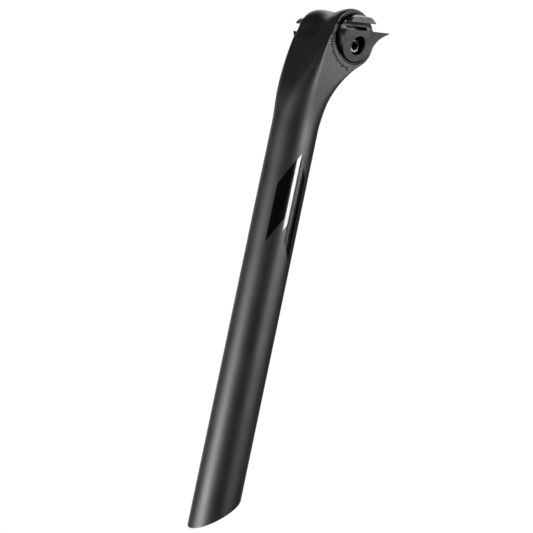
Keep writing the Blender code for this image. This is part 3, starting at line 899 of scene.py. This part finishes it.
def carbon_laminate():
    """Matt-lacquered unidirectional carbon with fibres along the tube."""
    shader = Shader("carbon_laminate_lacquered")
    shader.set(Metallic=0.0, IOR=1.5, Specular_IOR_Level=1.0)
    along_tube = shader.mapped(shader.place, Rotation=(0.0, TUBE_LEAN, 0.0))
    along_fibres = shader.mapped(along_tube, Scale=(1.0, 1.0, 0.03))
    fibres = shader.noise(along_fibres, scale=5200.0, detail=4.0, roughness=0.6)
    tows = shader.noise(along_fibres, scale=700.0, detail=2.0)
    cloud = shader.noise(shader.place, scale=45.0, detail=3.0)
    shade = shader.math("ADD", shader.math("MULTIPLY", fibres, 0.6), shader.math("MULTIPLY", tows, 0.4))
    light_fibres = shader.ramp(shade, 0.3, 0.75)
    colour = shader.colour_mix(light_fibres, (0.0008, 0.0008, 0.0008), (0.003, 0.003, 0.003))
    in_patches = shader.ramp(cloud, 0.35, 0.75)
    worn = shader.math("MULTIPLY", shader.edges(0.56, 0.70), in_patches)
    colour = shader.colour_mix(worn, colour, (0.012, 0.012, 0.0125))
    shader.link(colour, shader.surface.inputs["Base Color"])
    grain = shader.noise(shader.place, scale=2600.0, detail=2.0)
    roughness = shader.ramp(cloud, 0.3, 0.7, 0.44, 0.50)
    shader.link(roughness, shader.surface.inputs["Roughness"])
    fibre_height = shader.math("MULTIPLY", fibres, 0.5)
    grain_height = shader.math("MULTIPLY", grain, 0.8)
    shader.bump(shader.math("ADD", fibre_height, grain_height), strength=0.35, distance_mm=0.02)
    return shader.material


def black_anodised():
    """Bead-blasted alloy with a black skin, rubbed bare where the rails bear."""
    shader = Shader("black_anodised_blasted")
    shader.set(Metallic=1.0)
    blast = shader.noise(shader.place, scale=5200.0, detail=3.0, roughness=0.6)
    cloud = shader.noise(shader.place, scale=120.0, detail=3.0)
    colour = shader.colour_mix(cloud, (0.055, 0.056, 0.058), (0.080, 0.081, 0.083))
    parts = shader.add("SeparateXYZ", {"Vector": shader.place})
    across = shader.math("SUBTRACT", shader.math("ABSOLUTE", parts.outputs["Y"]), RAIL_Y * MM)
    above = shader.math("SUBTRACT", parts.outputs["Z"], EYE.z + RAIL_Z * MM)
    across_squared = shader.math("POWER", across, 2.0)
    above_squared = shader.math("POWER", above, 2.0)
    from_rail = shader.math("SQRT", shader.math("ADD", across_squared, above_squared))
    bearing = shader.ramp(from_rail, (RAIL_GROOVE_R + 0.15) * MM, (RAIL_GROOVE_R + 0.05) * MM)
    bearing = shader.math("MULTIPLY", bearing, shader.ramp(above, 0.2 * MM, 0.6 * MM))
    colour = shader.colour_mix(bearing, colour, (0.34, 0.34, 0.345))
    shader.link(colour, shader.surface.inputs["Base Color"])
    shader.link(shader.ramp(cloud, 0.3, 0.7, 0.30, 0.40), shader.surface.inputs["Roughness"])
    shader.bump(blast, strength=0.30, distance_mm=0.015)
    return shader.material


def grey_anodised():
    """Clear-anodised alloy with fine rings left by turning."""
    shader = Shader("grey_anodised_turned")
    shader.set(Metallic=1.0)
    squeezed = shader.mapped(shader.place, Scale=(1.0, 60.0, 1.0))
    rings = shader.noise(squeezed, scale=60.0, detail=2.0)
    cloud = shader.noise(shader.place, scale=300.0, detail=2.0)
    colour = shader.colour_mix(cloud, (0.06, 0.06, 0.062), (0.09, 0.09, 0.092))
    shader.link(colour, shader.surface.inputs["Base Color"])
    shader.link(shader.ramp(rings, 0.3, 0.7, 0.26, 0.38), shader.surface.inputs["Roughness"])
    shader.bump(rings, strength=0.2, distance_mm=0.01)
    return shader.material


def plated_steel():
    """Plated steel, slightly mottled, with painted shade that darkens the inside of the key socket."""
    shader = Shader("plated_steel_satin")
    shader.set(Metallic=1.0)
    cloud = shader.noise(shader.place, scale=500.0, detail=4.0)
    fine = shader.noise(shader.place, scale=4000.0, detail=2.0)
    colour = shader.colour_mix(cloud, (0.13, 0.13, 0.135), (0.20, 0.20, 0.205))
    bolt_axis = (EYE.x, 0.0, EYE.z + BOLT_Z * MM)
    offset = shader.add("VectorMath", {0: shader.place, 1: bolt_axis}, operation="SUBTRACT").outputs[0]
    radial = shader.add("VectorMath", {0: offset, 1: (1.0, 0.0, 1.0)}, operation="MULTIPLY").outputs[0]
    from_axis = shader.add("VectorMath", {0: radial}, operation="LENGTH").outputs["Value"]
    # painted shade: the colour goes near black within 2.9 mm of the bolt's axis, inside the key socket and
    # at the thread's roots, in place of the shadow in the recess
    socket_painted_shade = shader.ramp(from_axis, 3.1 * MM, 2.9 * MM)
    colour = shader.colour_mix(socket_painted_shade, colour, (0.03, 0.03, 0.03))
    shader.link(colour, shader.surface.inputs["Base Color"])
    shader.link(shader.ramp(cloud, 0.3, 0.7, 0.20, 0.34), shader.surface.inputs["Roughness"])
    shader.bump(fine, strength=0.2, distance_mm=0.01)
    return shader.material


def ink(name, colour, metallic, specular, roughness):
    """Screen-printed ink: nearly even, with a fine orange-peel surface."""
    shader = Shader(name)
    shader.set(Metallic=metallic, Specular_IOR_Level=specular)
    cloud = shader.noise(shader.place, scale=90.0, detail=2.0)
    darker = tuple(0.85 * c for c in colour)
    shader.link(shader.colour_mix(cloud, darker, colour), shader.surface.inputs["Base Color"])
    uneven = shader.ramp(cloud, 0.3, 0.7, roughness, roughness + 0.06)
    shader.link(uneven, shader.surface.inputs["Roughness"])
    orange_peel = shader.noise(shader.place, scale=1500.0, detail=2.0)
    shader.bump(orange_peel, strength=0.08, distance_mm=0.01)
    return shader.material


# ---------------------------------------------------------------- stage, light and camera

FLOOR_Z = -0.6                 # metres, like everything on the stage
FLOOR_RADIUS = 4.0
VIEW_AZIMUTH = math.radians(134.45)
VIEW_ELEVATION = math.radians(-3.0)
VIEW_ROLL = math.radians(2.18)
FIELD_WIDTH = 0.3591           # metres across the view at the object
LENS = 800.0                   # so long that the view is nearly parallel
SENSOR = 36.0
CLIP = (0.5, 40.0)             # nearest and furthest distances seen, in metres
TARGET_RIGHT = -0.0464         # the view's centre, in metres from the eye
TARGET_UP = -0.1534
MIDDLE = tube_point(0.0, 0.0, 80.0)   # the lights stand round this point of the tube


def camera_axes():
    """The camera's right, up and back directions, with its roll."""
    a, e = VIEW_AZIMUTH, VIEW_ELEVATION
    back = Vector((math.sin(a) * math.cos(e), -math.cos(a) * math.cos(e), math.sin(e)))
    level_right = Vector((math.cos(a), math.sin(a), 0.0))
    level_up = back.cross(level_right)
    turn = Matrix.Rotation(VIEW_ROLL, 3, back)
    return turn @ level_right, turn @ level_up, back


def add_camera():
    """A long lens aimed beside the eye, so that the whole post is in view."""
    right, up, back = camera_axes()
    target = EYE + right * TARGET_RIGHT + up * TARGET_UP
    data = bpy.data.cameras.new("camera")
    data.lens = LENS
    data.sensor_width = SENSOR
    data.clip_start, data.clip_end = CLIP
    camera = bpy.data.objects.new("camera", data)
    distance = FIELD_WIDTH * LENS / SENSOR
    axes = Matrix((right, up, back)).transposed()
    camera.matrix_world = Matrix.Translation(target + back * distance) @ axes.to_4x4()
    bpy.context.scene.collection.objects.link(camera)
    bpy.context.scene.camera = camera


def add_softbox(name, bearing, distance, z, width, height, radiance, aim_z, spread):
    """A soft light aimed at the post, on a bearing in degrees to the right of the camera's own.

    A narrow spread strengthens the beam. The energy is divided by that gain, so that radiance is
    the strength on the beam's axis at any spread.
    """
    turn = VIEW_AZIMUTH - math.pi / 2 + math.radians(bearing)
    place = Vector((MIDDLE.x + distance * math.cos(turn), MIDDLE.y + distance * math.sin(turn), z))
    data = bpy.data.lights.new(name, "AREA")
    data.shape = "RECTANGLE"
    data.size = width
    data.size_y = height
    half_spread = math.radians(spread) / 2
    gain = math.tan(half_spread) / (math.tan(half_spread) - half_spread)
    data.energy = radiance * math.pi * width * height / gain
    data.spread = 2 * half_spread
    light = bpy.data.objects.new(name, data)
    light.location = place
    away = place - Vector((MIDDLE.x, MIDDLE.y, aim_z))
    light.rotation_euler = away.to_track_quat("Z", "Y").to_euler()
    light.visible_camera = False
    bpy.context.scene.collection.objects.link(light)


SOFTBOXES = (
    # name, bearing, distance, z, width, height, radiance, z aimed at, spread
    ("left_strip", -58.5, 0.9, 0.02, 0.42, 0.44, 25.0, 0.07, 179.0),
    ("right_strip", 59.0, 1.3, 0.60, 0.46, 0.60, 20.0, 0.34, 32.0),
    ("right_side", 85.0, 1.5, 0.55, 0.50, 0.60, 11.0, 0.30, 36.0),
    ("right_low", 100.0, 1.5, -0.40, 0.90, 0.34, 4.5, 0.24, 30.0),
    ("back", 175.0, 1.2, 0.95, 1.30, 0.45, 3.5, 0.24, 90.0),
    ("rear_low", 160.0, 1.3, -0.35, 1.50, 0.40, 1.0, 0.12, 120.0),
    ("rear_left", -150.0, 1.3, 0.25, 0.40, 0.80, 1.1, 0.10, 120.0),
)


def seen_by_camera(tree, lighting, seen):
    """One shader for the light it casts and another for what the camera sees directly."""
    path = tree.nodes.new("ShaderNodeLightPath")
    mix = tree.nodes.new("ShaderNodeMixShader")
    tree.links.new(path.outputs["Is Camera Ray"], mix.inputs[0])
    tree.links.new(lighting.outputs[0], mix.inputs[1])
    tree.links.new(seen.outputs[0], mix.inputs[2])
    return mix.outputs[0]


def add_floor():
    """A pale disc: it looks evenly lit, but bounces only the dim light of the studio."""
    bm = bmesh.new()
    bmesh.ops.create_circle(bm, cap_ends=True, segments=64, radius=FLOOR_RADIUS)
    floor = link_mesh("floor", mesh_from_bmesh("floor", bm))
    floor.location.z = FLOOR_Z
    shader = Shader("pale_floor")
    shader.set(Roughness=0.9)
    tone = shader.noise(shader.place, scale=3.0, detail=2.0)
    colour = shader.colour_mix(tone, (0.80, 0.80, 0.80), (0.84, 0.84, 0.84))
    shader.link(colour, shader.surface.inputs["Base Color"])
    glow = shader.add("Emission", {"Color": colour})
    output = shader.tree.nodes["Material Output"]
    shader.link(seen_by_camera(shader.tree, shader.surface, glow), output.inputs["Surface"])
    floor.data.materials.append(shader.material)


WORLD_FILL = 0.010             # strength of the light it casts
WORLD_SEEN = 1.0               # and of what the camera sees


def add_world():
    """A white surround for the camera and a dimmer one for the light it casts."""
    world = bpy.data.worlds.new("studio")
    world.use_nodes = True
    tree = world.node_tree
    fill = tree.nodes["Background"]
    fill.inputs["Color"].default_value = (1.0, 1.0, 1.0, 1.0)
    fill.inputs["Strength"].default_value = WORLD_FILL
    seen = tree.nodes.new("ShaderNodeBackground")
    seen.inputs["Color"].default_value = (1.0, 1.0, 1.0, 1.0)
    seen.inputs["Strength"].default_value = WORLD_SEEN
    surface = tree.nodes["World Output"].inputs["Surface"]
    tree.links.new(seen_by_camera(tree, fill, seen), surface)
    bpy.context.scene.world = world
    bpy.context.scene.view_settings.view_transform = "Standard"


def main():
    """Build the pieces, the stage, the lights and the camera."""
    carbon = carbon_laminate()
    black = black_anodised()
    grey = grey_anodised()
    steel = plated_steel()
    inks = {
        "gloss": ink("gloss_black_ink", (0.002, 0.002, 0.002), 0.0, 0.35, 0.16),
        "silver": ink("silver_ink", (0.30, 0.30, 0.30), 1.0, 0.5, 0.34),
        "black": ink("matt_black_ink", (0.003, 0.003, 0.003), 0.0, 0.08, 0.5),
    }
    add_post(carbon)
    add_printed_marks(inks)
    for side, word in SIDES:
        add_liner(side, word, grey)
        add_upper_jaw(side, word, black)
        add_lower_jaw(side, word, black)
    add_clamp_bolt(steel)
    add_bolt_washer(steel)
    add_hex_nut(steel)
    add_floor()
    add_world()
    for softbox in SOFTBOXES:
        add_softbox(*softbox)
    add_camera()


main()
